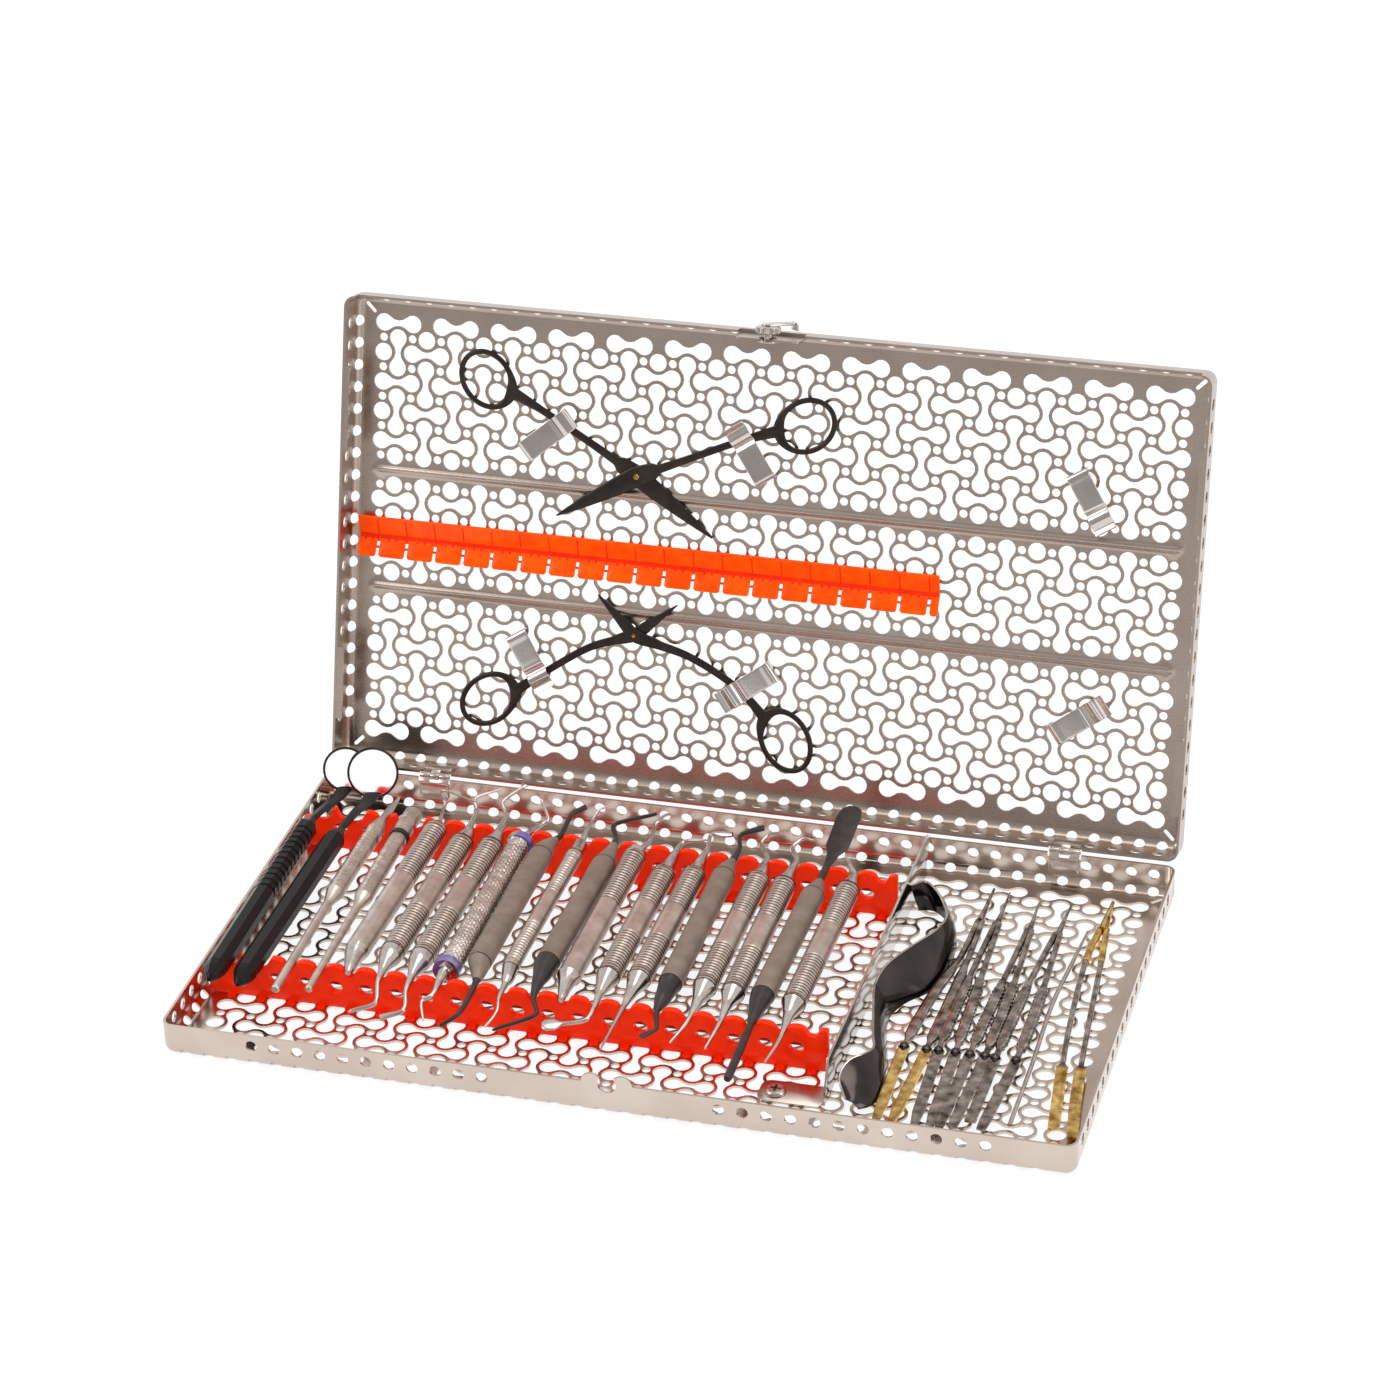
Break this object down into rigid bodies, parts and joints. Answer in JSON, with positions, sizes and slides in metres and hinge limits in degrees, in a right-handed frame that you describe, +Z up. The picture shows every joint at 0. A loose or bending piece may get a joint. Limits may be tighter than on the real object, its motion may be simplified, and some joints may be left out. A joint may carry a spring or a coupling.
{
  "type": "instrument tray",
  "caption": "Hinged perforated steel cassette tray with silicone rails, turn lock and a full load of veterinary dental hand instruments, shown open.",
  "frame": {"origin": "centre of the base tray's footprint, on the plane it stands on", "axes": "+X to the right along the hinge line, +Y from the lock side to the hinges, +Z up. The lid stands open at its stop."},
  "size_m": [0.3682, 0.276, 0.2163],
  "materials": {
    "tray_steel": "bright drawn, electropolished",
    "hinge_steel": "satin",
    "spring_steel": "polished",
    "lock_steel": "turned and knurled",
    "silicone": "translucent orange",
    "handle_steel": "bead-blasted and knurled",
    "dark_handle": "matte black-brown",
    "brown_coating": "dark brown coating",
    "gold_coating": "polished gold coating",
    "mirror_glass": "front-surface mirror"
  },
  "bodies": {
    "base": {"base_tray": "tray_steel", "carver_15": "handle_steel", "carver_3": "handle_steel", "carver_4": "handle_steel", "cheek_retractor": "brown_coating", "chisel_7": "handle_steel", "cone_12": "handle_steel", "curette_13": "handle_steel", "curette_16": "handle_steel", "curette_17": "handle_steel", "curette_6": "handle_steel", "divider_plate": "tray_steel", "divider_screw": "spring_steel", "explorer_10": "handle_steel", "explorer_5": "handle_steel", "gold_needle_holder_5": "handle_steel", "hinge_base_leaf_left": "hinge_steel", "hinge_base_leaf_right": "hinge_steel", "hinge_pin_left": "hinge_steel", "hinge_pin_right": "hinge_steel", "micro_forceps_2": "handle_steel", "micro_forceps_3": "handle_steel", "micro_needle_holder_1": "handle_steel", "micro_scissors_4": "handle_steel", "mirror_handle_1": "dark_handle", "mirror_handle_2": "dark_handle", "mirror_head_1": "mirror_glass", "mirror_head_2": "mirror_glass", "plugger_9": "handle_steel", "probe_14": "handle_steel", "rail_back": "silicone", "rail_front": "silicone", "scaler_11": "handle_steel", "scaler_19": "handle_steel", "scaler_8": "handle_steel", "spatula_18": "handle_steel", "thin_probe_6": "handle_steel"},
    "lid": {"clip_1": "spring_steel", "clip_2": "spring_steel", "clip_3": "spring_steel", "clip_4": "spring_steel", "clip_5": "spring_steel", "clip_6": "spring_steel", "curved_scissors_half_b": "brown_coating", "curved_scissors_screw": "gold_coating", "hinge_lid_leaf_left": "hinge_steel", "hinge_lid_leaf_right": "hinge_steel", "hold_down_comb": "silicone", "lid_tray": "tray_steel", "straight_scissors_half_b": "brown_coating", "straight_scissors_screw": "gold_coating"},
    "turn_lock": {"lock_knob": "lock_steel", "lock_lever": "lock_steel", "lock_stud": "lock_steel", "lock_washer": "lock_steel"},
    "straight_scissors_moving_half": {"straight_scissors_half_a": "brown_coating"},
    "curved_scissors_moving_half": {"curved_scissors_half_a": "brown_coating"}
  },
  "joints": [
    {"name": "lid_hinge", "type": "hinge", "parent": "base", "child": "lid", "pos_m": [0, 0.1024, 0.0148], "axis": [1, 0, 0], "range_deg": [0, 106.2]},
    {"name": "turn_lock_turn", "type": "hinge", "parent": "lid", "child": "turn_lock", "pos_m": [0, 0.15876, 0.21024], "axis": [0, 0.279, 0.9603], "range_deg": [0, 90]},
    {"name": "straight_scissors_pivot", "type": "hinge", "parent": "lid", "child": "straight_scissors_moving_half", "pos_m": [-0.05715, 0.15399, 0.14182], "axis": [0, 0.9603, -0.279], "range_deg": [0, 8]},
    {"name": "curved_scissors_pivot", "type": "hinge", "parent": "lid", "child": "curved_scissors_moving_half", "pos_m": [-0.05525, 0.13494, 0.07627], "axis": [0, -0.9603, 0.279], "range_deg": [0, 8]}
  ]
}
